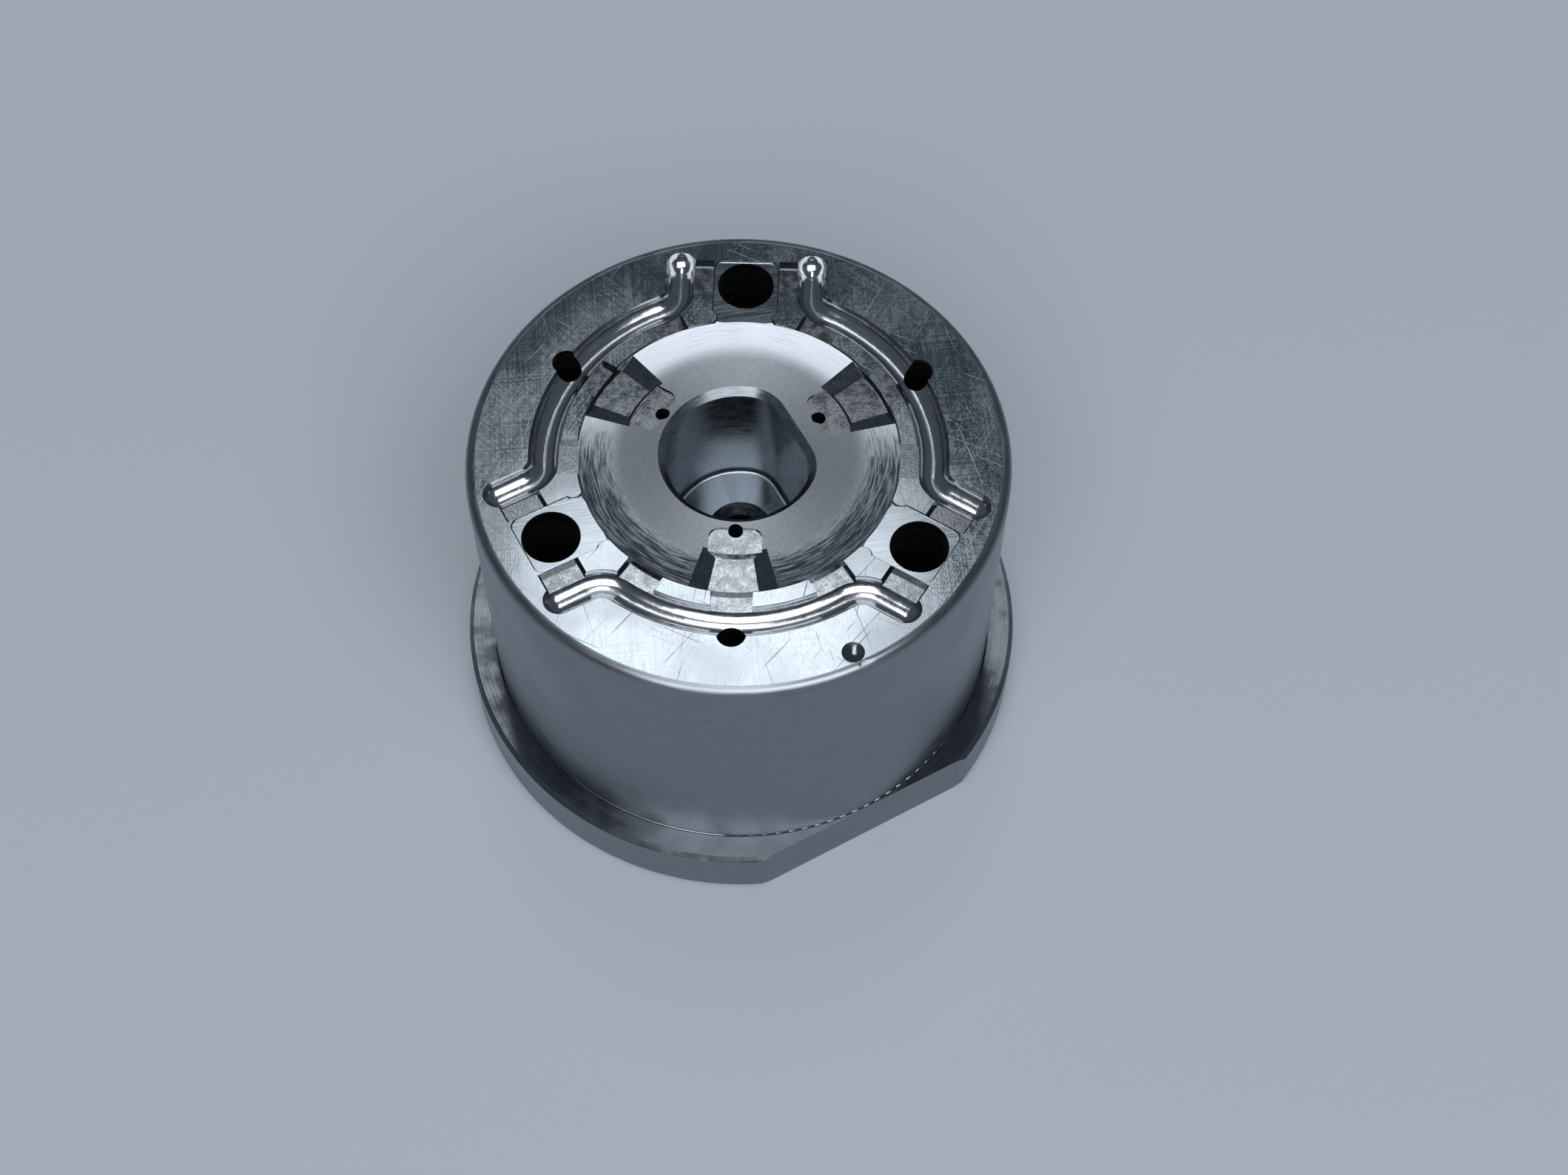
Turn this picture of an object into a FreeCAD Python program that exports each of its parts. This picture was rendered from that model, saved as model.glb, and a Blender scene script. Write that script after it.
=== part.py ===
"""Core insert of a small injection mould: one round block of tool steel with a flanged foot.

Millimetres, +Z out of the parting face, origin on the axis at the underside. Azimuths are
degrees from +X towards +Y. The cavity side repeats SECTORS times around the axis: a pad with
a large ejector bore, then half a pitch on a pocket with its gate, fed by a curved runner.
In a sector's or a pad's own plan, u runs outwards along its azimuth and v across it.
"""
import FreeCAD, Part
import math
import os

# Block: a ground cylinder on a clamping flange with one keying flat
BODY_DIAMETER = 56.0
BODY_HEIGHT = 33.0          # ledge to parting face
RIM_RADIUS = 1.0            # rounded edge of the parting face
FLANGE_DIAMETER = 62.0
FLANGE_THICKNESS = 6.8
LEDGE_CHAMFER = 0.5
BASE_CHAMFER = 0.5
RELIEF_RADIUS = 0.15        # round grinding relief in the corner of the body and the ledge
KEY_FLAT_AZIMUTH = 300.5
KEY_FLAT_MARGIN = 0.2       # the flat stands this far outside the body

# Pattern around the axis
SECTORS = 3
FIRST_PAD_AZIMUTH = 90.0

# Shallow round recess in the middle of the parting face
DISH_DIAMETER = 33.0
DISH_STEP = 0.15            # 45 degree step at its rim
DISH_FALL = 0.05            # further fall from the step to the flat land
LAND_DIAMETER = 24.0        # flat land around the central bore

# Blind D-shaped bore in the middle, with a small round hole on through its floor
BORE_DIAMETER = 15.1
BORE_FLAT_OFFSET = 6.1      # axis to the flat
BORE_FLAT_AZIMUTH = 30.0
BORE_CORNER_RADIUS = 4.0
BORE_DEPTH = 15.0           # land to floor
BORE_CHAMFER = 0.75
BORE_FLOOR_RADIUS = 0.5
FLOOR_HOLE_DIAMETER = 5.0
FLOOR_COUNTERSINK_WIDTH = 1.0

# Straight through bores for the ejector pins
EJECTOR_BORE_DIAMETER = 6.0
EJECTOR_PITCH_RADIUS = 21.3
RUNNER_PIN_DIAMETER = 3.0
RUNNER_PIN_PITCH_RADIUS = 21.25
POCKET_PIN_DIAMETER = 1.5
POCKET_PIN_PITCH_RADIUS = 9.3

# Pads: flat recesses round the large ejector bores, open to the dish
PAD_SIDE_MARGIN = 0.5       # bore edge to side wall
PAD_END_MARGIN = 0.15       # bore edge to outer wall
PAD_DROP = 0.05             # foot of the dish's step to the pad's floor
PAD_CORNER_RADIUS = 1.0
PAD_FLOOR_RADIUS = 0.15
PAD_MOUTH_NARROWING = 0.5   # how far the round land corners at the dish reach into a pad
PAD_MOUTH_RADIUS = 0.9      # radius of those corners

# Runners: round-bottomed grooves, an arc with a bend and a straight tail at each end
RUNNER_PATH_RADIUS = 19.9
RUNNER_CUTTER_RADIUS = 1.65
RUNNER_DEPTH = 1.55
RUNNER_BEND_RADIUS = 3.0
TAIL_GAP = 1.85             # pad side wall to the near edge of a tail
TAIL_REACH = 23.75          # axis to the centre of a tail's round end

# Side channels: short troughs from a tail to the pad beside it
CHANNEL_LENGTH = 4.45       # inwards from the pad's outer wall
CHANNEL_DEPTH = 0.7
CHANNEL_END_SLOPE = 0.3

# Gates: shallow slots from the dish rim to the runner
GATE_WIDTH = 4.2
GATE_DEPTH = 0.75
GATE_BEARINGS = (-32.0, -0.4, 33.6)     # degrees from a sector's middle, cut by hand

# Pockets: annular sectors with sloped walls, and a finger-wide step for the small pin
POCKET_INNER_RADIUS = 11.77
POCKET_HALF_ANGLE = 15.7
POCKET_DEPTH = 0.6          # below the land
POCKET_SIDE_SLOPE_INNER = 1.3
POCKET_SIDE_SLOPE_OUTER = 1.9
POCKET_INNER_SLOPE = 0.6
POCKET_OUTER_SLOPE = 0.15
PIN_STEP_WIDTH = 5.4
PIN_STEP_INNER = 9.0        # axis to the step's straight inner edge
PIN_STEP_DEPTH = 0.22       # below the land
PIN_STEP_CORNER_RADIUS = 1.1

# Round dimple that marks the insert's orientation
DIMPLE_AZIMUTH = 297.5
DIMPLE_PITCH_RADIUS = 25.9
DIMPLE_DIAMETER = 2.3
DIMPLE_DEPTH = 0.25

# Worked out from the sizes above
AIR = 2.0                   # how far a cutter starts above the face it enters
BODY_RADIUS = BODY_DIAMETER / 2
FLANGE_RADIUS = FLANGE_DIAMETER / 2
DISH_RADIUS = DISH_DIAMETER / 2
LAND_RADIUS = LAND_DIAMETER / 2
TOP = FLANGE_THICKNESS + BODY_HEIGHT
DISH_Z = TOP - DISH_STEP
LAND_Z = DISH_Z - DISH_FALL
PITCH = 360.0 / SECTORS
PAD_AZIMUTHS = [FIRST_PAD_AZIMUTH + PITCH * i for i in range(SECTORS)]
SECTOR_AZIMUTHS = [azimuth + PITCH / 2 for azimuth in PAD_AZIMUTHS]
PAD_HALF_WIDTH = EJECTOR_BORE_DIAMETER / 2 + PAD_SIDE_MARGIN
PAD_REACH = EJECTOR_PITCH_RADIUS + EJECTOR_BORE_DIAMETER / 2 + PAD_END_MARGIN
TAIL_OFFSET = PAD_HALF_WIDTH + TAIL_GAP + RUNNER_CUTTER_RADIUS


def point(u, v, z=0.0, azimuth=0.0):
    """A point of a plan whose u axis lies along an azimuth."""
    turn = math.radians(azimuth)
    x = u * math.cos(turn) - v * math.sin(turn)
    y = u * math.sin(turn) + v * math.cos(turn)
    return FreeCAD.Vector(x, y, z)


def turned(shape, azimuth):
    """A copy of a shape modelled along +X, turned about the axis to its azimuth."""
    copy = shape.copy()
    copy.rotate(FreeCAD.Vector(0, 0, 0), FreeCAD.Vector(0, 0, 1), azimuth)
    return copy


def line(start, end):
    return Part.LineSegment(start, end).toShape()


def arc(start, middle, end):
    return Part.Arc(start, middle, end).toShape()


def bevel(start, end):
    """A straight edge held as a spline, so that a flat cuts what it sweeps along a spline too."""
    curve = Part.BSplineCurve()
    curve.buildFromPoles([start, end], False, 1)
    return curve.toShape()


def outline_edges(steps):
    """Edges in the XZ plane from (kind of edge to the next point, radius, height) steps."""
    points = [FreeCAD.Vector(r, 0, z) for kind, r, z in steps]
    return [step[0](a, b) for step, a, b in zip(steps, points, points[1:])]


def outline_arc(last_step, radius, height, next_step):
    """The arc from one step of an outline to another, through a point between them."""
    start, end = [FreeCAD.Vector(step[1], 0, step[2]) for step in (last_step, next_step)]
    return arc(start, FreeCAD.Vector(radius, 0, height), end)


def prism(wire, height):
    """The solid between a flat closed wire and its copy a height above it."""
    return Part.Face(wire).extrude(FreeCAD.Vector(0, 0, height))


def round_hole(diameter, azimuth, pitch_radius, bottom=-AIR, top=None):
    """A vertical cylinder on an azimuth, by default right through the block."""
    end = TOP + AIR if top is None else top
    return Part.makeCylinder(diameter / 2, end - bottom, point(pitch_radius, 0, bottom, azimuth))


def round_bottom_edges(solid, level, radius):
    """Fillet every edge of a cutter that lies at its lowest level."""
    edges = [e for e in solid.Edges if abs(e.BoundBox.ZMax - level) < 1e-6]
    return solid.makeFillet(radius, edges)


def block():
    """The turned blank with its shallow dish, before anything is milled into it."""
    relief = RELIEF_RADIUS * math.sqrt(0.5)
    rim = RIM_RADIUS * (1 - math.sqrt(0.5))
    foot = [
        (line, 0, 0),
        (bevel, FLANGE_RADIUS - BASE_CHAMFER, 0),
        (line, FLANGE_RADIUS, BASE_CHAMFER),
        (bevel, FLANGE_RADIUS, FLANGE_THICKNESS - LEDGE_CHAMFER),
        (line, FLANGE_RADIUS - LEDGE_CHAMFER, FLANGE_THICKNESS),
        (line, BODY_RADIUS + RELIEF_RADIUS, FLANGE_THICKNESS),
    ]
    wall = [
        (line, BODY_RADIUS, FLANGE_THICKNESS + RELIEF_RADIUS),
        (line, BODY_RADIUS, TOP - RIM_RADIUS),
    ]
    face = [
        (line, BODY_RADIUS - RIM_RADIUS, TOP),
        (line, DISH_RADIUS + DISH_STEP, TOP),
        (line, DISH_RADIUS, DISH_Z),
        (line, LAND_RADIUS, LAND_Z),
        (line, 0, LAND_Z),
        (line, 0, 0),
    ]
    edges = outline_edges(foot)
    edges.append(outline_arc(foot[-1], BODY_RADIUS - relief, FLANGE_THICKNESS - relief, wall[0]))
    edges += outline_edges(wall)
    edges.append(outline_arc(wall[-1], BODY_RADIUS - rim, TOP - rim, face[0]))
    edges += outline_edges(face)
    half = Part.Face(Part.Wire(edges))
    return half.revolve(FreeCAD.Vector(0, 0, 0), FreeCAD.Vector(0, 0, 1), 360)


def key_flat():
    """Cutter for the flat that keys the flange against turning."""
    distance = BODY_RADIUS + KEY_FLAT_MARGIN
    cutter = Part.makeBox(FLANGE_RADIUS, FLANGE_DIAMETER, FLANGE_THICKNESS + AIR,
                          FreeCAD.Vector(distance, -FLANGE_RADIUS, -AIR / 2))
    return turned(cutter, KEY_FLAT_AZIMUTH)


def d_outline(grow, z):
    """The bore's D outline, grown evenly, with its flat towards +X."""
    radius = BORE_DIAMETER / 2 + grow
    flat = BORE_FLAT_OFFSET + grow
    corner = BORE_CORNER_RADIUS + grow
    centre_u = flat - corner
    centre_v = math.sqrt((radius - corner) ** 2 - centre_u ** 2)
    bearing = math.degrees(math.atan2(centre_v, centre_u))

    def on_circle(angle):
        return point(radius, 0, z, angle)

    def on_corner(side, angle):
        return point(centre_u, side * centre_v, z) + point(corner, 0, 0, side * angle)

    return Part.Wire([
        line(on_corner(-1, 0), on_corner(1, 0)),
        arc(on_corner(1, 0), on_corner(1, bearing / 2), on_circle(bearing)),
        arc(on_circle(bearing), on_circle(180), on_circle(-bearing)),
        arc(on_circle(-bearing), on_corner(-1, bearing / 2), on_corner(-1, 0)),
    ])


def d_bore():
    """Cutter for the chamfered blind bore and the countersunk hole in its floor."""
    floor = LAND_Z - BORE_DEPTH
    barrel = round_bottom_edges(prism(d_outline(0, floor), BORE_DEPTH), floor, BORE_FLOOR_RADIUS)
    chamfer = Part.makeLoft([d_outline(0, LAND_Z - BORE_CHAMFER),
                             d_outline(BORE_CHAMFER, LAND_Z)], True, True)
    mouth = prism(d_outline(BORE_CHAMFER, LAND_Z), AIR)
    hole_radius = FLOOR_HOLE_DIAMETER / 2
    sink = Part.makeCone(hole_radius, hole_radius + FLOOR_COUNTERSINK_WIDTH,
                         FLOOR_COUNTERSINK_WIDTH, point(0, 0, floor - FLOOR_COUNTERSINK_WIDTH))
    hole = round_hole(FLOOR_HOLE_DIAMETER, 0, 0, top=LAND_Z)
    return [turned(barrel, BORE_FLAT_AZIMUTH), turned(chamfer, BORE_FLAT_AZIMUTH),
            turned(mouth, BORE_FLAT_AZIMUTH), sink, hole]


def pad():
    """Cutter for one pad: straight walls, round corners and a mouth between two round lobes."""
    floor = DISH_Z - PAD_DROP
    depth = TOP - floor
    half = PAD_HALF_WIDTH
    corner = PAD_CORNER_RADIUS
    bow = corner * (1 - math.sqrt(0.5))
    lobe = PAD_MOUTH_RADIUS
    mouth = half - PAD_MOUTH_NARROWING
    lobe_v = mouth + lobe
    lobe_u = math.sqrt((DISH_RADIUS + lobe) ** 2 - lobe_v ** 2)
    lobe_end_u = lobe_u + math.sqrt(lobe ** 2 - (lobe_v - half) ** 2)
    rim = DISH_RADIUS / (DISH_RADIUS + lobe)
    back_u = DISH_RADIUS - AIR - lobe

    def at(u, v):
        return point(u, v, floor)

    outline = Part.Wire([
        line(at(back_u, -lobe_v * rim), at(lobe_u * rim, -lobe_v * rim)),
        arc(at(lobe_u * rim, -lobe_v * rim), at(lobe_u, -mouth), at(lobe_end_u, -half)),
        line(at(lobe_end_u, -half), at(PAD_REACH - corner, -half)),
        arc(at(PAD_REACH - corner, -half), at(PAD_REACH - bow, bow - half),
            at(PAD_REACH, corner - half)),
        line(at(PAD_REACH, corner - half), at(PAD_REACH, half - corner)),
        arc(at(PAD_REACH, half - corner), at(PAD_REACH - bow, half - bow),
            at(PAD_REACH - corner, half)),
        line(at(PAD_REACH - corner, half), at(lobe_end_u, half)),
        arc(at(lobe_end_u, half), at(lobe_u, mouth), at(lobe_u * rim, lobe_v * rim)),
        line(at(lobe_u * rim, lobe_v * rim), at(back_u, lobe_v * rim)),
        line(at(back_u, lobe_v * rim), at(back_u, -lobe_v * rim)),
    ])
    cutter = round_bottom_edges(prism(outline, depth + AIR), floor, min(PAD_FLOOR_RADIUS, depth))
    threshold = Part.makeCone(DISH_RADIUS + PAD_DROP, DISH_RADIUS, PAD_DROP, point(0, 0, floor))
    return cutter.cut(threshold)


def runner():
    """Cutter for one runner, about the sector azimuth +X, as a ball-nosed tool leaves it."""
    axis_z = TOP - RUNNER_DEPTH + RUNNER_CUTTER_RADIUS
    bend_v = TAIL_OFFSET + RUNNER_BEND_RADIUS
    reach = RUNNER_PATH_RADIUS + RUNNER_BEND_RADIUS
    bend_u = math.sqrt(reach ** 2 - bend_v ** 2)
    inward = RUNNER_PATH_RADIUS / reach
    bearing = math.atan2(bend_v, bend_u)
    mid_turn = math.pi / 4 - bearing / 2
    mid_u = bend_u - RUNNER_BEND_RADIUS * math.sin(mid_turn)
    mid_v = bend_v - RUNNER_BEND_RADIUS * math.cos(mid_turn)

    def near(side, u, v):
        """A point given in the plan of the pad on one side of the sector."""
        return point(u, -side * v, axis_z, side * PITCH / 2)

    ends = [near(side, TAIL_REACH, TAIL_OFFSET) for side in (-1, 1)]
    bends = [near(side, bend_u, TAIL_OFFSET) for side in (-1, 1)]
    joins = [near(side, bend_u * inward, bend_v * inward) for side in (-1, 1)]
    middles = [near(side, mid_u, mid_v) for side in (-1, 1)]
    path = Part.Wire([
        line(ends[0], bends[0]),
        arc(bends[0], middles[0], joins[0]),
        arc(joins[0], point(RUNNER_PATH_RADIUS, 0, axis_z), joins[1]),
        arc(joins[1], middles[1], bends[1]),
        line(bends[1], ends[1]),
    ])
    circle = Part.Circle(ends[0], bends[0] - ends[0], RUNNER_CUTTER_RADIUS).toShape()
    groove = path.makePipeShell([Part.Wire([circle])], True, True)
    return [groove] + [Part.makeSphere(RUNNER_CUTTER_RADIUS, end) for end in ends]


def channel(side):
    """Cutter for the trough on one side of a pad: sloped ends, running into the tail."""
    floor = TOP - CHANNEL_DEPTH
    outer = PAD_REACH
    inner = PAD_REACH - CHANNEL_LENGTH
    slope = CHANNEL_END_SLOPE
    flare = slope * AIR / CHANNEL_DEPTH
    start = side * PAD_HALF_WIDTH
    corners = [(inner + slope, floor), (outer - slope, floor), (outer, TOP),
               (outer + flare, TOP + AIR), (inner - flare, TOP + AIR), (inner, TOP)]
    points = [point(u, start, z) for u, z in corners]
    section = Part.Face(Part.makePolygon(points + points[:1]))
    return section.extrude(FreeCAD.Vector(0, side * (TAIL_OFFSET - PAD_HALF_WIDTH), 0))


def gate():
    """Cutter for one gate: a straight slot between the dish rim and the runner's middle."""
    slot = Part.makeBox(RUNNER_PATH_RADIUS, GATE_WIDTH, GATE_DEPTH + AIR,
                        FreeCAD.Vector(0, -GATE_WIDTH / 2, TOP - GATE_DEPTH))
    dish = Part.makeCylinder(DISH_RADIUS, GATE_DEPTH + 2 * AIR, point(0, 0, TOP - GATE_DEPTH - AIR))
    return slot.cut(dish)


def pocket_outline(z, inner, outer, inner_half, outer_half):
    """An annular sector with straight sides: two radii and two half widths."""
    inner_u = math.sqrt(inner ** 2 - inner_half ** 2)
    outer_u = math.sqrt(outer ** 2 - outer_half ** 2)
    return Part.Wire([
        arc(point(inner_u, -inner_half, z), point(inner, 0, z), point(inner_u, inner_half, z)),
        line(point(inner_u, inner_half, z), point(outer_u, outer_half, z)),
        arc(point(outer_u, outer_half, z), point(outer, 0, z), point(outer_u, -outer_half, z)),
        line(point(outer_u, -outer_half, z), point(inner_u, -inner_half, z)),
    ])


def pocket():
    """Cutter for one pocket: sloped walls up to the dish, open above it."""
    half_angle = math.radians(POCKET_HALF_ANGLE)
    inner_half = POCKET_INNER_RADIUS * math.sin(half_angle)
    outer_half = DISH_RADIUS * math.sin(half_angle)
    floor = pocket_outline(LAND_Z - POCKET_DEPTH,
                           POCKET_INNER_RADIUS + POCKET_INNER_SLOPE,
                           DISH_RADIUS - POCKET_OUTER_SLOPE,
                           inner_half - POCKET_SIDE_SLOPE_INNER,
                           outer_half - POCKET_SIDE_SLOPE_OUTER)
    mouth = pocket_outline(LAND_Z, POCKET_INNER_RADIUS, DISH_RADIUS, inner_half, outer_half)
    return [Part.makeLoft([floor, mouth], True, True), prism(mouth, AIR)]


def pin_step():
    """Cutter for the step inside a pocket that the small pin hole opens into."""
    level = LAND_Z - PIN_STEP_DEPTH
    half = PIN_STEP_WIDTH / 2
    inner = PIN_STEP_INNER
    outer = POCKET_INNER_RADIUS + POCKET_INNER_SLOPE
    corner = PIN_STEP_CORNER_RADIUS
    bow = corner * (1 - math.sqrt(0.5))
    outline = Part.Wire([
        line(point(outer, -half, level), point(outer, half, level)),
        line(point(outer, half, level), point(inner + corner, half, level)),
        arc(point(inner + corner, half, level), point(inner + bow, half - bow, level),
            point(inner, half - corner, level)),
        line(point(inner, half - corner, level), point(inner, corner - half, level)),
        arc(point(inner, corner - half, level), point(inner + bow, bow - half, level),
            point(inner + corner, -half, level)),
        line(point(inner + corner, -half, level), point(outer, -half, level)),
    ])
    return prism(outline, PIN_STEP_DEPTH + AIR)


def dimple():
    """Ball-shaped cutter for the orientation mark."""
    radius = ((DIMPLE_DIAMETER / 2) ** 2 + DIMPLE_DEPTH ** 2) / (2 * DIMPLE_DEPTH)
    return Part.makeSphere(radius, point(DIMPLE_PITCH_RADIUS, 0, TOP - DIMPLE_DEPTH + radius,
                                         DIMPLE_AZIMUTH))


def mould_insert():
    """The finished insert: the blank less everything that is milled, eroded and drilled."""
    cutters = [key_flat(), dimple()] + d_bore()
    for azimuth in PAD_AZIMUTHS:
        cutters.append(turned(pad(), azimuth))
        cutters += [turned(channel(side), azimuth) for side in (-1, 1)]
        cutters.append(round_hole(EJECTOR_BORE_DIAMETER, azimuth, EJECTOR_PITCH_RADIUS))
    for azimuth in SECTOR_AZIMUTHS:
        cutters += [turned(cutter, azimuth) for cutter in runner()]
        cutters += [turned(gate(), azimuth + bearing) for bearing in GATE_BEARINGS]
        cutters += [turned(cutter, azimuth) for cutter in pocket()]
        cutters.append(turned(pin_step(), azimuth))
        cutters.append(round_hole(RUNNER_PIN_DIAMETER, azimuth, RUNNER_PIN_PITCH_RADIUS))
        cutters.append(round_hole(POCKET_PIN_DIAMETER, azimuth, POCKET_PIN_PITCH_RADIUS))
    shape = block()
    for cutter in cutters:
        shape = shape.cut(cutter)
    return shape.removeSplitter()


os.makedirs("parts", exist_ok=True)
insert = mould_insert()
insert.exportStep("parts/mould_insert.step")
print("mould_insert: %d solid, valid %s, %.1f mm3" % (len(insert.Solids), insert.isValid(), insert.Volume))
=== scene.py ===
"""The mould insert's looks: a finish for each machined surface, a studio floor, lamps and a camera."""
import math

import bpy
from mathutils import Matrix, Vector


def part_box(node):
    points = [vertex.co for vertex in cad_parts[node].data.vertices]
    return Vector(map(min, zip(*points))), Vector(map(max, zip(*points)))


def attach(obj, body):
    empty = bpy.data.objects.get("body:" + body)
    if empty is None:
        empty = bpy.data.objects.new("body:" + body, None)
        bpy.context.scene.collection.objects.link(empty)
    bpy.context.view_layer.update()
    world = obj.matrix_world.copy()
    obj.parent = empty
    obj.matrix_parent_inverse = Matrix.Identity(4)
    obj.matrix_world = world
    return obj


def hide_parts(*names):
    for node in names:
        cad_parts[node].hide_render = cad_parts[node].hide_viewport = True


bl_info = {
    "name": "Mould Insert Finishes",
    "version": (1, 0, 0),
    "blender": (4, 5, 0),
    "location": "View3D > Sidebar > Mould Insert",
    "description": "Gives the steel mould insert its machined finishes and a studio to stand in",
    "category": "Object",
}

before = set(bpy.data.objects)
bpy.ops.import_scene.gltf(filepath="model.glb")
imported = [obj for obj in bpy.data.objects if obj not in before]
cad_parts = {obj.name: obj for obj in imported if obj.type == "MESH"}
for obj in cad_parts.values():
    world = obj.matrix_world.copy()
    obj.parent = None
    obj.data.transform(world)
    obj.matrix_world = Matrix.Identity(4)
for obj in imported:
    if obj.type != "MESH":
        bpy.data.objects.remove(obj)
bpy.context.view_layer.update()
NODE = "mould_insert"
LOW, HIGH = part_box(NODE)
TOP = HIGH.z                    # height of the parting face
MM = 0.001                      # metres in a millimetre

# where one surface ends and the next begins
HAIR = 0.01 * MM                # a face this close to the parting face is part of it
SHALLOW = 0.22 * MM             # the dish and the pads lie no deeper than this
CAVITY_REACH = 1.2 * MM         # nor do the pockets, channels and gates than this
RUNNER_REACH = 2 * MM           # nor the runner grooves than this
RELIEF_REACH = 0.16 * MM        # grinding relief, out from the corner of body and ledge
FLANGE_RISE = 0.8 * MM          # the flange's faces end this far above the ledge at most
FLANGE_OVERLAP = 0.3 * MM       # and begin this far inside the body's radius
BORE_EDGE = 0.8 * MM            # broken edge round the bore
DISH_RIM = 0.2 * MM             # sloping rim of the dish
TAIL_OVERLAP = 3 * MM           # runner tails begin this far inside the runner's path
GROOVE_SLACK = 1.02             # a groove's faces may lie this much past the cutter's radius
SECTOR = 120                    # degrees from one pad to the next
BACK = 90                       # bearing of the back pad
LEVEL = 0.999                   # upward part of a level face's normal
PLANE = 0.9999                  # the same, for a face that is shaded flat
SLOPING = 0.5                   # the same, for the dish's rim
UPRIGHT = 0.1                   # the same, for the flange's side
GROOVE_WALL = 0.02              # the same, for the upright wall of a channel
FACING = 0.5                    # outward part of the normal of a wall that follows the groove
SMOOTH_ANGLE = 30               # edges flatter than this, in degrees, are shaded smooth
WELD = 0.001 * MM               # corners closer than this are one

# ranges of a noise that are stretched to a full pattern, from crisp to soft
CRISP = (0.4, 0.6)
MEDIUM = (0.35, 0.65)
SOFT = (0.3, 0.7)
FULL = (0.0, 1.0)
EASED = {"interpolation_type": "SMOOTHSTEP"}

# lines and grains, in millimetres; real ones are about 0.02 apart, and these are drawn
# several times coarser so that they show
GRINDING = {"length": 9.0, "pitch": 0.16}
SCRATCHING = {"length": 14.0, "pitch": 0.22}
MILLING = {"length": 5.0, "pitch": 0.18}
GRINDING_PASSES = ((8, 1.0), (-38, 4.0), (63, 8.0), (97, 13.0))        # degrees and seed
SCRATCH_PASSES = ((-24, 21.0), (52, 27.0), (80, 33.0), (-70, 41.0))    # degrees and seed
SCRATCH_CUT = (0.68, 0.76)      # part of the noise that is a scratch
HOLLOW_RISE = 0.0035            # hollow of the dish, in mm of rise per square mm out from the bore
LAND_BLEND = (-1.0, 2.5)        # the blasting fades out from here to here past the land, in mm


class InsertSizes(bpy.types.PropertyGroup):
    """Sizes that tell one machined surface of the insert from the next."""
    body_radius: bpy.props.FloatProperty(
        name="Body radius", description="Ground cylinder that fits the mould plate",
        default=28 * MM, unit="LENGTH", precision=5)
    ledge_height: bpy.props.FloatProperty(
        name="Ledge height", description="Underside to the ledge round the foot of the body",
        default=6.8 * MM, unit="LENGTH", precision=5)
    rim_radius: bpy.props.FloatProperty(
        name="Rim radius", description="Rounded edge of the parting face",
        default=1 * MM, unit="LENGTH", precision=5)
    dish_radius: bpy.props.FloatProperty(
        name="Dish radius", description="Shallow turned recess in the parting face",
        default=16.5 * MM, unit="LENGTH", precision=5)
    land_radius: bpy.props.FloatProperty(
        name="Land radius", description="Blasted flat round the central bore",
        default=12 * MM, unit="LENGTH", precision=5)
    bore_radius: bpy.props.FloatProperty(
        name="Bore radius", description="Central D-shaped bore, at its round side",
        default=7.55 * MM, unit="LENGTH", precision=5)
    runner_radius: bpy.props.FloatProperty(
        name="Runner path radius", description="Axis to the middle of the runner grooves",
        default=19.9 * MM, unit="LENGTH", precision=5)
    runner_cutter: bpy.props.FloatProperty(
        name="Runner cutter radius", description="Ball-nosed cutter that made the runner grooves",
        default=1.65 * MM, unit="LENGTH", precision=5)
    tail_offset: bpy.props.FloatProperty(
        name="Tail offset", description="Middle of a pad to the middle of the runner tail beside it",
        default=7 * MM, unit="LENGTH", precision=5)


class InsertColours(bpy.types.PropertyGroup):
    """Colours of the steel under each way of working it."""
    ground: bpy.props.StringProperty(
        name="Ground steel", description="sRGB hex of the ground faces", default="#8b939a")
    polished: bpy.props.StringProperty(
        name="Polished steel", description="sRGB hex of the polished runners", default="#a9adb1")
    turned: bpy.props.StringProperty(
        name="Turned steel", description="sRGB hex of the turned body and dish", default="#868c93")
    eroded: bpy.props.StringProperty(
        name="Eroded steel", description="sRGB hex of the spark-eroded pockets", default="#7c8186")
    bored: bpy.props.StringProperty(
        name="Bored steel", description="sRGB hex of the walls of holes", default="#8a9198")


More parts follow.
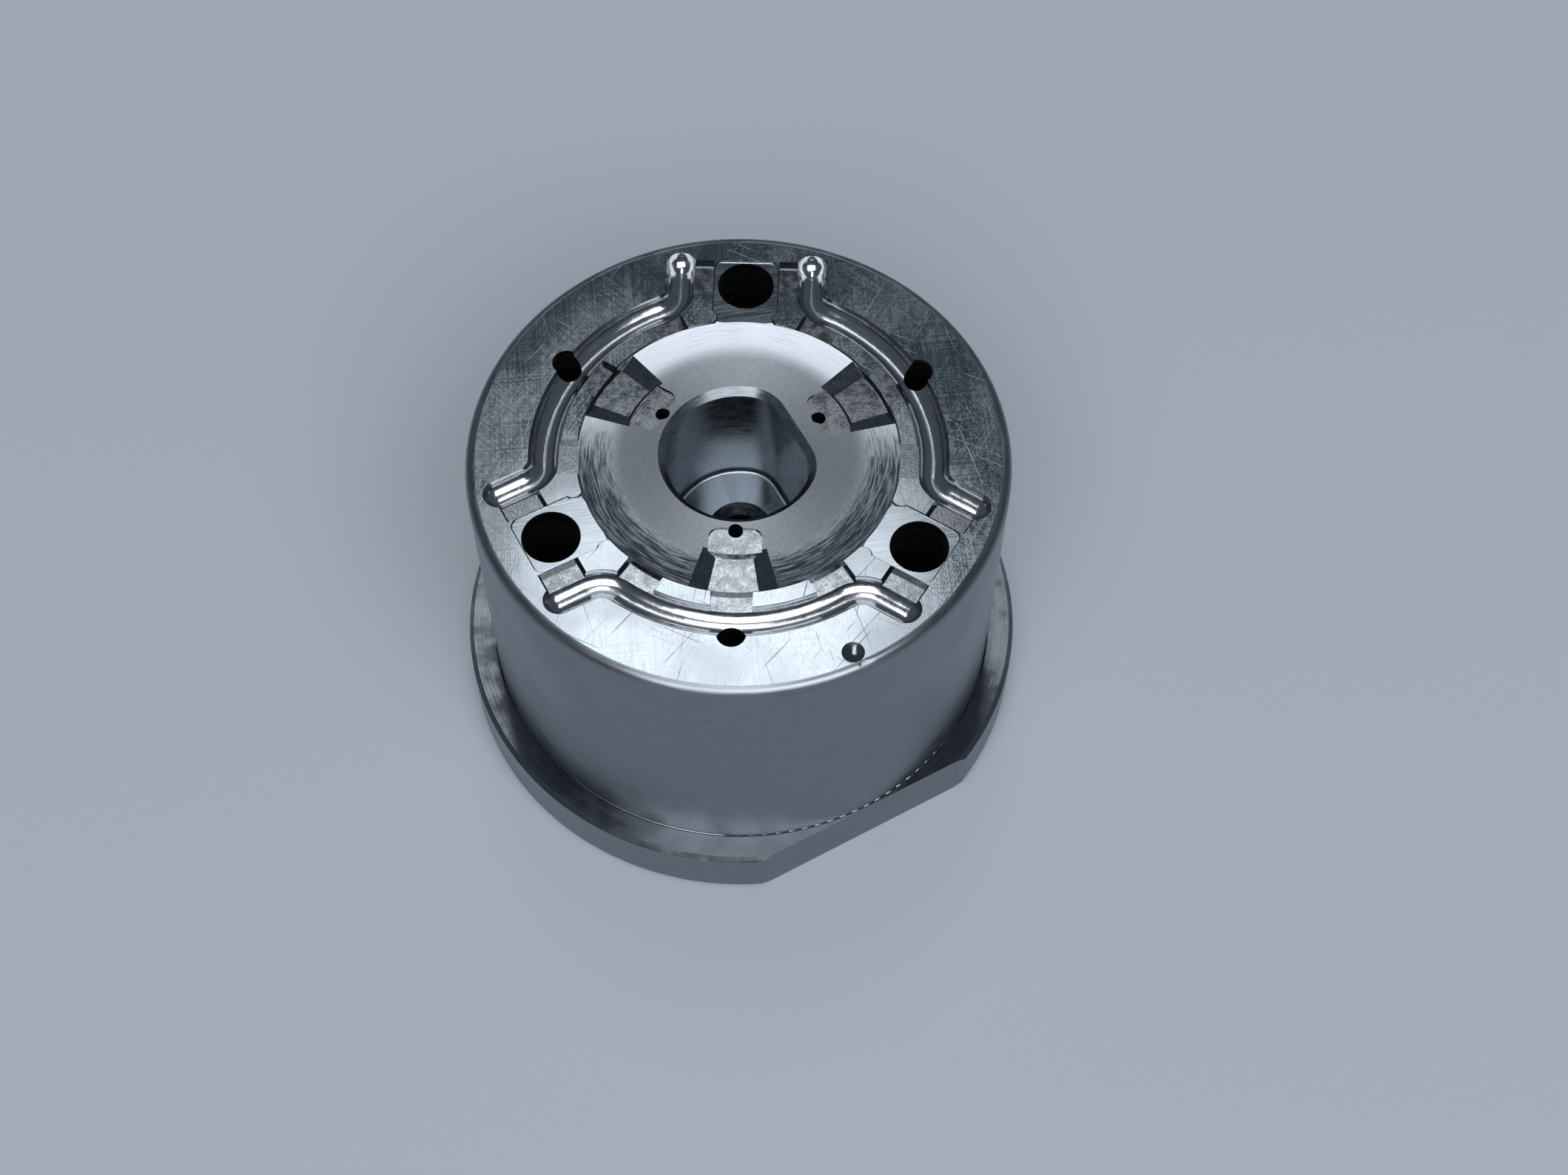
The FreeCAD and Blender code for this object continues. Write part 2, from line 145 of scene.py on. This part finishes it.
class StudioSettings(bpy.types.PropertyGroup):
    """The floor, the lamps and the camera."""
    floor_colour: bpy.props.StringProperty(
        name="Floor colour", description="sRGB hex of the floor", default="#a5afb8")
    floor_size: bpy.props.FloatProperty(
        name="Floor size", description="Side of the square floor", default=16, unit="LENGTH")
    room_colour: bpy.props.StringProperty(
        name="Room colour", description="sRGB hex of the unlit room", default="#7d8894")
    room_strength: bpy.props.FloatProperty(
        name="Room strength", description="Brightness of the unlit room", default=0.5, min=0)
    overhead_place: bpy.props.FloatVectorProperty(
        name="Overhead lamp place", description="Middle of the panel above and behind the insert",
        default=(-0.06, 0.39, 1.5), size=3, subtype="TRANSLATION", precision=5)
    overhead_size: bpy.props.FloatVectorProperty(
        name="Overhead lamp size", description="Width and length of the overhead panel",
        default=(0.33, 1.08), size=2, unit="LENGTH")
    overhead_power: bpy.props.FloatProperty(
        name="Overhead lamp power", description="Light of the overhead panel", default=4,
        unit="POWER")
    front_place: bpy.props.FloatVectorProperty(
        name="Front lamp place", description="Middle of the panel in front of the insert",
        default=(0.15, -1.0, 1.5), size=3, subtype="TRANSLATION", precision=5)
    front_size: bpy.props.FloatVectorProperty(
        name="Front lamp size", description="Width and height of the front panel",
        default=(2.0, 1.3), size=2, unit="LENGTH")
    front_power: bpy.props.FloatProperty(
        name="Front lamp power", description="Light of the front panel", default=33, unit="POWER")
    sensor: bpy.props.FloatProperty(
        name="Sensor", description="Width of the camera's sensor", default=36, unit="CAMERA")
    lens: bpy.props.FloatProperty(
        name="Lens", description="Focal length on that sensor", default=54.65, unit="CAMERA")
    nearest: bpy.props.FloatProperty(
        name="Nearest", description="Distance from which the camera sees", default=0.01,
        unit="LENGTH")
    camera_place: bpy.props.FloatVectorProperty(
        name="Camera place", description="Where the camera stands, from the foot of the axis",
        default=(6.68 * MM, -133.85 * MM, 243.45 * MM), size=3, subtype="TRANSLATION", precision=5)
    camera_up: bpy.props.FloatVectorProperty(
        name="Camera up", description="Upward side of the picture", size=3, subtype="DIRECTION",
        default=(-0.02602, 0.86494, 0.50115))
    camera_view: bpy.props.FloatVectorProperty(
        name="Camera view", description="Direction that the camera looks in", size=3,
        subtype="DIRECTION", default=(-0.0070, 0.5012, -0.8653))


def linear(hex_colour):
    """An sRGB hex colour as linear red, green, blue and full alpha."""
    parts = [int(hex_colour[i:i + 2], 16) / 255 for i in (1, 3, 5)]
    return [c / 12.92 if c <= 0.04045 else ((c + 0.055) / 1.055) ** 2.4 for c in parts] + [1]


def feed(tree, socket, value):
    """Gives an input a value, another node's first output, or another node's socket."""
    if isinstance(value, bpy.types.Node):
        value = value.outputs[0]
    if isinstance(value, bpy.types.NodeSocket):
        tree.links.new(value, socket)
    else:
        socket.default_value = value


def add(tree, kind, inputs=(), **settings):
    """Adds a node with its settings, and feeds its inputs by order, name or number."""
    node = tree.nodes.new("ShaderNode" + kind)
    for name, value in settings.items():
        setattr(node, name, value)
    for key, value in inputs.items() if isinstance(inputs, dict) else enumerate(inputs):
        feed(tree, node.inputs[key], value)
    return node


# ---------------------------------------------------------------- patterns of the finishes

def millimetres(tree):
    """The surface point in the insert's own frame, in millimetres."""
    place = add(tree, "TexCoord").outputs["Object"]
    return add(tree, "VectorMath", [place, (1 / MM,) * 3], operation="MULTIPLY")


def across_axis(tree, point):
    """The point's direction out from the insert's axis, and how far out it is."""
    flat = add(tree, "VectorMath", [point, (1, 1, 0)], operation="MULTIPLY")
    outwards = add(tree, "VectorMath", [flat], operation="NORMALIZE")
    distance = add(tree, "VectorMath", [flat], operation="LENGTH").outputs["Value"]
    return outwards, distance


def strokes(tree, point, angle, length, pitch, seed):
    """Straight strokes at an angle in degrees, with their length and pitch in millimetres."""
    turned = add(tree, "Mapping", {"Vector": point, "Rotation": (0, 0, math.radians(-angle))})
    drawn = add(tree, "VectorMath", [turned, (1 / length, 1 / pitch, 1)], operation="MULTIPLY")
    moved = add(tree, "VectorMath", [drawn, (seed, seed * 1.7, seed * 2.3)])
    return add(tree, "TexNoise", {"Vector": moved, "Scale": 1.0, "Detail": 2.0, "Roughness": 0.6})


def lathe_lines(tree, outwards, feed_along, pitch, breaks):
    """Lines round the axis, a pitch apart in millimetres; more breaks make them shorter."""
    round_axis = add(tree, "VectorMath", [outwards, (breaks, breaks, 0)], operation="MULTIPLY")
    rising = add(tree, "Math", [feed_along, pitch], operation="DIVIDE")
    along = add(tree, "CombineXYZ", [0.0, 0.0, rising])
    drawn = add(tree, "VectorMath", [round_axis, along])
    return add(tree, "TexNoise", {"Vector": drawn, "Scale": 1.0, "Detail": 3.0, "Roughness": 0.6})


def tinted(tree, colour, pattern, span, low, high):
    """A hex colour times a low to a high factor, as a pattern goes through its span."""
    factor = add(tree, "MapRange", [pattern, *span, *FULL], **EASED)
    *parts, alpha = linear(colour)
    dark = [part * low for part in parts] + [alpha]
    light = [min(part * high, 1) for part in parts] + [alpha]
    return add(tree, "Mix", {0: factor, 6: dark, 7: light}, data_type="RGBA").outputs[2]


# ---------------------------------------------------------------- finishes

def new_metal(name):
    """An empty metal material: its tree and its shader."""
    material = bpy.data.materials.new(name)
    material.use_nodes = True
    shader = material.node_tree.nodes["Principled BSDF"]
    shader.inputs["Metallic"].default_value = 1.0
    return material, material.node_tree, shader


def finish(tree, shader, colour, roughness, height, depth):
    """Gives a metal its colour, its roughness and a relief: a pattern times a depth in mm."""
    feed(tree, shader.inputs["Base Color"], colour)
    feed(tree, shader.inputs["Roughness"], roughness)
    relief = add(tree, "Bump", {"Height": height, "Distance": depth * MM})
    feed(tree, shader.inputs["Normal"], relief)


def stretch_across(tree, shader, direction, anisotropy):
    """Draws highlights out across the tool lines, along a direction."""
    shader.inputs["Anisotropic"].default_value = anisotropy
    feed(tree, shader.inputs["Tangent"], direction)


def ground_steel(colours):
    """Tool steel, surface-ground and then lapped by hand.

    The eye gets a flat sheen that fine crossing strokes break up, with a few long scratches
    that catch the light where the face is dark.
    """
    material, tree, shader = new_metal("ground_tool_steel")
    point = millimetres(tree)
    layers = [strokes(tree, point, angle, seed=seed, **GRINDING) for angle, seed in GRINDING_PASSES]
    grain = layers[0]
    for layer in layers[1:]:
        grain = add(tree, "Math", [grain, layer], operation="ADD")
    grain = add(tree, "Math", [grain, 1 / len(layers)], operation="MULTIPLY")
    scratches = 0.0
    for angle, seed in SCRATCH_PASSES:
        fine = strokes(tree, point, angle, seed=seed, **SCRATCHING)
        cut = add(tree, "MapRange", [fine, *SCRATCH_CUT, *FULL], **EASED)
        scratches = add(tree, "Math", [scratches, cut], operation="MAXIMUM")
    handled = add(tree, "TexNoise", {"Vector": point, "Scale": 0.12, "Detail": 3.0, "Roughness": 0.5})
    lapped = add(tree, "MapRange", [grain, *CRISP, 0.1, 0.18], **EASED)
    worn = add(tree, "MapRange", [handled, *MEDIUM, -0.03, 0.05], **EASED)
    even = add(tree, "Math", [lapped, worn], operation="ADD")
    torn = add(tree, "Math", [scratches, 0.2], operation="MULTIPLY")
    roughness = add(tree, "Math", [even, torn], operation="ADD")
    furrows = add(tree, "Math", [scratches, 0.9], operation="MULTIPLY")
    height = add(tree, "Math", [grain, furrows], operation="SUBTRACT")
    colour = tinted(tree, colours.ground, grain, CRISP, 0.75, 1.15)
    finish(tree, shader, colour, roughness, height, depth=0.0035)
    return material


def polished_steel(colours):
    """Tool steel, milled with a ball-nosed cutter and polished by hand along the groove.

    The eye gets a near mirror, whose bright lines waver a little, with faint streaks.
    """
    material, tree, shader = new_metal("polished_tool_steel")
    point = millimetres(tree)
    outwards, distance = across_axis(tree, point)
    waves = add(tree, "TexNoise", {"Vector": point, "Scale": 0.6, "Detail": 2.0, "Roughness": 0.5})
    streaks = lathe_lines(tree, outwards, distance, pitch=0.25, breaks=5.0)
    faint = add(tree, "Math", [streaks, 0.12], operation="MULTIPLY")
    height = add(tree, "Math", [waves, faint], operation="ADD")
    roughness = add(tree, "MapRange", [streaks, *MEDIUM, 0.13, 0.21], **EASED)
    finish(tree, shader, linear(colours.polished), roughness, height, depth=0.03)
    return material


def turned_side(colours):
    """Tool steel, ground between centres.

    The eye gets fine lines round the body that draw every highlight out upwards.
    """
    material, tree, shader = new_metal("cylindrical_ground_steel")
    point = millimetres(tree)
    outwards, distance = across_axis(tree, point)
    height_up = add(tree, "SeparateXYZ", [point]).outputs["Z"]
    lines = lathe_lines(tree, outwards, height_up, pitch=0.14, breaks=7.0)
    handled = add(tree, "TexNoise", {"Vector": point, "Scale": 0.09, "Detail": 4.0, "Roughness": 0.5})
    lined = add(tree, "MapRange", [lines, *SOFT, 0.24, 0.34], **EASED)
    worn = add(tree, "MapRange", [handled, 0.4, 0.7, 0.0, 0.06], **EASED)
    roughness = add(tree, "Math", [lined, worn], operation="ADD")
    finish(tree, shader, tinted(tree, colours.turned, lines, MEDIUM, 0.9, 1.06), roughness,
           lines, depth=0.003)
    stretch_across(tree, shader, add(tree, "CombineXYZ", [0.0, 0.0, 1.0]), 0.7)
    return material


def turned_face(colours, sizes):
    """Tool steel, faced a little hollow on a lathe, with a bead-blasted land round the bore.

    The eye gets a bow tie of light across the turned ring, which fades into matt grain.
    """
    material, tree, shader = new_metal("turned_and_blasted_steel")
    point = millimetres(tree)
    outwards, distance = across_axis(tree, point)
    lines = lathe_lines(tree, outwards, distance, pitch=0.16, breaks=6.0)
    grain = add(tree, "TexNoise", {"Vector": point, "Scale": 4.0, "Detail": 4.0, "Roughness": 0.8})
    fade = [sizes.land_radius / MM + shift for shift in LAND_BLEND]
    blasted = add(tree, "MapRange", [distance, *fade, 1.0, 0.0], **EASED)
    pattern = add(tree, "Mix", {0: blasted, 2: lines, 3: grain}, data_type="FLOAT")
    matt = add(tree, "MapRange", [blasted, *FULL, 0.12, 0.34], **EASED)
    uneven = add(tree, "MapRange", [pattern, *MEDIUM, -0.05, 0.05], **EASED)
    roughness = add(tree, "Math", [matt, uneven], operation="ADD")
    past_bore = add(tree, "Math", [distance, sizes.bore_radius / MM], operation="SUBTRACT")
    outside = add(tree, "Math", [past_bore, 0.0], operation="MAXIMUM")
    square = add(tree, "Math", [outside, 2.0], operation="POWER")
    hollow = add(tree, "Math", [square, HOLLOW_RISE], operation="MULTIPLY")
    texture = add(tree, "Math", [pattern, 0.0022], operation="MULTIPLY")
    height = add(tree, "Math", [hollow, texture], operation="ADD")
    finish(tree, shader, tinted(tree, colours.turned, pattern, MEDIUM, 0.75, 1.15), roughness,
           height, depth=1.0)
    stretch_across(tree, shader, outwards, 0.6)
    return material


def faced_ledge(colours):
    """Tool steel, faced on a lathe and left as cut, with old coolant stains.

    The eye gets rings round the flange, with duller and darker patches.
    """
    material, tree, shader = new_metal("faced_flange_steel")
    point = millimetres(tree)
    outwards, distance = across_axis(tree, point)
    lines = lathe_lines(tree, outwards, distance, pitch=0.2, breaks=4.0)
    stains = add(tree, "TexNoise", {"Vector": point, "Scale": 0.25, "Detail": 4.0, "Roughness": 0.6})
    lined = add(tree, "MapRange", [lines, *SOFT, 0.16, 0.26], **EASED)
    dulled = add(tree, "MapRange", [stains, 0.45, 0.65, 0.0, 0.12], **EASED)
    roughness = add(tree, "Math", [lined, dulled], operation="ADD")
    finish(tree, shader, tinted(tree, colours.turned, stains, SOFT, 0.95, 0.6), roughness,
           lines, depth=0.004)
    stretch_across(tree, shader, outwards, 0.7)
    return material


def eroded_steel(colours):
    """Tool steel, spark-eroded to shape.

    The eye gets a dark pitted skin that shines unevenly, in patches about a millimetre wide.
    """
    material, tree, shader = new_metal("spark_eroded_steel")
    point = millimetres(tree)
    pits = add(tree, "TexNoise", {"Vector": point, "Scale": 4.5, "Detail": 3.0, "Roughness": 0.7})
    patches = add(tree, "TexNoise", {"Vector": point, "Scale": 0.9, "Detail": 3.0, "Roughness": 0.6})
    roughness = add(tree, "MapRange", [patches, *MEDIUM, 0.1, 0.22], **EASED)
    finish(tree, shader, tinted(tree, colours.eroded, pits, MEDIUM, 0.7, 1.15), roughness,
           pits, depth=0.004)
    return material


def milled_pad(colours):
    """Tool steel, milled flat with a small cutter.

    The eye gets a bright even face with short straight strokes.
    """
    material, tree, shader = new_metal("milled_tool_steel")
    point = millimetres(tree)
    grain = strokes(tree, point, 12, seed=3.0, **MILLING)
    roughness = add(tree, "MapRange", [grain, *MEDIUM, 0.1, 0.17], **EASED)
    finish(tree, shader, tinted(tree, colours.ground, grain, MEDIUM, 0.88, 1.08), roughness,
           grain, depth=0.003)
    return material


def reamed_bore(colours):
    """Tool steel, bored and reamed.

    The eye gets dark walls with fine rings.
    """
    material, tree, shader = new_metal("reamed_tool_steel")
    point = millimetres(tree)
    height_up = add(tree, "SeparateXYZ", [point]).outputs["Z"]
    outwards, distance = across_axis(tree, point)
    rings = lathe_lines(tree, outwards, height_up, pitch=0.25, breaks=4.0)
    roughness = add(tree, "MapRange", [rings, *MEDIUM, 0.22, 0.32], **EASED)
    finish(tree, shader, tinted(tree, colours.bored, rings, MEDIUM, 0.8, 1.05), roughness,
           rings, depth=0.004)
    return material


# ---------------------------------------------------------------- which face has which finish

def on_runner(centre, sizes):
    """Whether a point lies over a runner groove: its arc, or a straight tail beside a pad."""
    distance = math.hypot(centre.x, centre.y)
    azimuth = math.degrees(math.atan2(centre.y, centre.x))
    bearing = math.radians((azimuth - BACK + SECTOR / 2) % SECTOR - SECTOR / 2)
    along = distance * math.cos(bearing)
    beside = abs(distance * math.sin(bearing))
    wide = sizes.runner_cutter * GROOVE_SLACK
    on_tail = abs(beside - sizes.tail_offset) < wide and along > sizes.runner_radius - TAIL_OVERLAP
    on_arc = abs(distance - sizes.runner_radius) < wide and beside > sizes.tail_offset
    return on_tail or on_arc


def follows_groove(face):
    """Whether a face slopes, or is a wall that faces the axis, as a groove's faces do."""
    centre = face.center
    distance = math.hypot(centre.x, centre.y)
    outward = abs(face.normal.x * centre.x + face.normal.y * centre.y) / max(distance, MM)
    return abs(face.normal.z) > GROOVE_WALL or outward > FACING


def finish_of(face, sizes):
    """The name of a face's finish, from where it lies and which way it points."""
    centre = face.center
    upward = face.normal.z
    distance = math.hypot(centre.x, centre.y)
    below = TOP - centre.z
    above_ledge = centre.z - sizes.ledge_height
    level = upward > LEVEL
    if abs(above_ledge) < RELIEF_REACH and distance < sizes.body_radius + RELIEF_REACH:
        return "bored"
    if above_ledge < FLANGE_RISE and distance > sizes.body_radius - FLANGE_OVERLAP:
        return "side" if abs(upward) < UPRIGHT else "ledge"
    if distance > sizes.body_radius - sizes.rim_radius:
        return "side"
    if level and below < HAIR:
        return "ground"
    if distance < sizes.bore_radius + BORE_EDGE and not level:
        return "bored"
    if below < SHALLOW and distance < sizes.dish_radius + DISH_RIM and upward > SLOPING:
        return "dish"
    if level and below < SHALLOW:
        return "pad"
    if not level and HAIR < below < RUNNER_REACH and on_runner(centre, sizes) and follows_groove(face):
        return "polished"
    if below < CAVITY_REACH:
        return "eroded"
    return "bored"


class MOULDINSERT_OT_finish(bpy.types.Operator):
    """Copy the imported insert, weld its faces together and give each surface its finish"""
    bl_idname = "mouldinsert.finish"
    bl_label = "Finish the insert"

    def execute(self, context):
        sizes = context.scene.insert_sizes
        colours = context.scene.insert_colours
        bpy.ops.object.select_all(action="DESELECT")
        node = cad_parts[NODE]
        node.select_set(True)
        context.view_layer.objects.active = node
        bpy.ops.object.duplicate()
        piece = context.view_layer.objects.active
        piece.name = "insert_body"
        piece.data.name = "insert_body"
        bpy.ops.object.mode_set(mode="EDIT")
        bpy.ops.mesh.select_all(action="SELECT")
        bpy.ops.mesh.remove_doubles(threshold=WELD)
        bpy.ops.mesh.customdata_custom_splitnormals_clear()
        bpy.ops.object.mode_set(mode="OBJECT")
        bpy.ops.object.shade_smooth_by_angle(angle=math.radians(SMOOTH_ANGLE))
        piece.data.materials.clear()
        finishes = {
            "ground": ground_steel(colours),
            "polished": polished_steel(colours),
            "side": turned_side(colours),
            "dish": turned_face(colours, sizes),
            "ledge": faced_ledge(colours),
            "eroded": eroded_steel(colours),
            "pad": milled_pad(colours),
            "bored": reamed_bore(colours),
        }
        for material in finishes.values():
            piece.data.materials.append(material)
        order = list(finishes)
        for face in piece.data.polygons:
            face.material_index = order.index(finish_of(face, sizes))
            face.use_smooth = face.normal.z < PLANE
        weighted = piece.modifiers.new("Flat faces stay flat", "WEIGHTED_NORMAL")
        weighted.keep_sharp = True
        weighted.weight = 100
        bpy.ops.object.modifier_apply(modifier=weighted.name)
        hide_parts(NODE)
        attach(piece, "root")
        return {"FINISHED"}


def panel_lamp(name, place, target, size, power):
    """A soft rectangular lamp, pointed at a place."""
    bpy.ops.object.light_add(type="AREA", location=place)
    lamp = bpy.context.object
    lamp.name = name
    lamp.rotation_euler = (Vector(target) - Vector(place)).to_track_quat("-Z", "Y").to_euler()
    lamp.data.shape = "RECTANGLE"
    lamp.data.size, lamp.data.size_y = size
    lamp.data.energy = power


class MOULDINSERT_OT_studio(bpy.types.Operator):
    """Add the floor, the soft lamps, the room's light and the camera"""
    bl_idname = "mouldinsert.studio"
    bl_label = "Set up the studio"

    def execute(self, context):
        studio = context.scene.studio_settings
        bpy.ops.mesh.primitive_plane_add(size=studio.floor_size, location=(0, 0, LOW.z))
        floor = context.object
        floor.name = "floor"
        paint = bpy.data.materials.new("matt_painted_floor")
        paint.use_nodes = True
        shader = paint.node_tree.nodes["Principled BSDF"]
        shader.inputs["Base Color"].default_value = linear(studio.floor_colour)
        shader.inputs["Roughness"].default_value = 0.8
        floor.data.materials.append(paint)
        overhead = Vector(studio.overhead_place)
        panel_lamp("overhead_panel", overhead, (overhead.x, overhead.y, LOW.z),
                   studio.overhead_size, studio.overhead_power)
        panel_lamp("front_panel", studio.front_place, (0, 0, LOW.z),
                   studio.front_size, studio.front_power)
        world = bpy.data.worlds.new("room")
        world.use_nodes = True
        background = world.node_tree.nodes["Background"]
        background.inputs["Color"].default_value = linear(studio.room_colour)
        background.inputs["Strength"].default_value = studio.room_strength
        context.scene.world = world
        back = -Vector(studio.camera_view).normalized()
        right = Vector(studio.camera_up).cross(back).normalized()
        turn = Matrix((right, back.cross(right), back)).transposed().to_4x4()
        bpy.ops.object.camera_add()
        camera = context.object
        camera.name = "camera"
        camera.matrix_world = Matrix.Translation(studio.camera_place) @ turn
        camera.data.lens = studio.lens
        camera.data.sensor_width = studio.sensor
        camera.data.clip_start = studio.nearest
        context.scene.camera = camera
        context.scene.view_settings.view_transform = "Standard"
        return {"FINISHED"}


class MOULDINSERT_PT_panel(bpy.types.Panel):
    """Steps and settings of the mould insert's looks"""
    bl_idname = "MOULDINSERT_PT_panel"
    bl_label = "Mould Insert"
    bl_space_type = "VIEW_3D"
    bl_region_type = "UI"
    bl_category = "Mould Insert"

    def draw(self, context):
        for operator in OPERATORS:
            self.layout.operator(operator.bl_idname)
        for group in GROUPS:
            settings = getattr(context.scene, group)
            for name in settings.bl_rna.properties.keys():
                if name not in ("name", "rna_type"):
                    self.layout.prop(settings, name)


GROUPS = {"insert_sizes": InsertSizes, "insert_colours": InsertColours, "studio_settings": StudioSettings}
OPERATORS = (MOULDINSERT_OT_finish, MOULDINSERT_OT_studio)


def register():
    for name, group in GROUPS.items():
        bpy.utils.register_class(group)
        setattr(bpy.types.Scene, name, bpy.props.PointerProperty(type=group))
    for cls in OPERATORS + (MOULDINSERT_PT_panel,):
        bpy.utils.register_class(cls)


def unregister():
    for cls in (MOULDINSERT_PT_panel,) + OPERATORS:
        bpy.utils.unregister_class(cls)
    for name, group in GROUPS.items():
        delattr(bpy.types.Scene, name)
        bpy.utils.unregister_class(group)


def main():
    register()
    bpy.ops.mouldinsert.finish()
    bpy.ops.mouldinsert.studio()


if __name__ == "__main__":
    main()
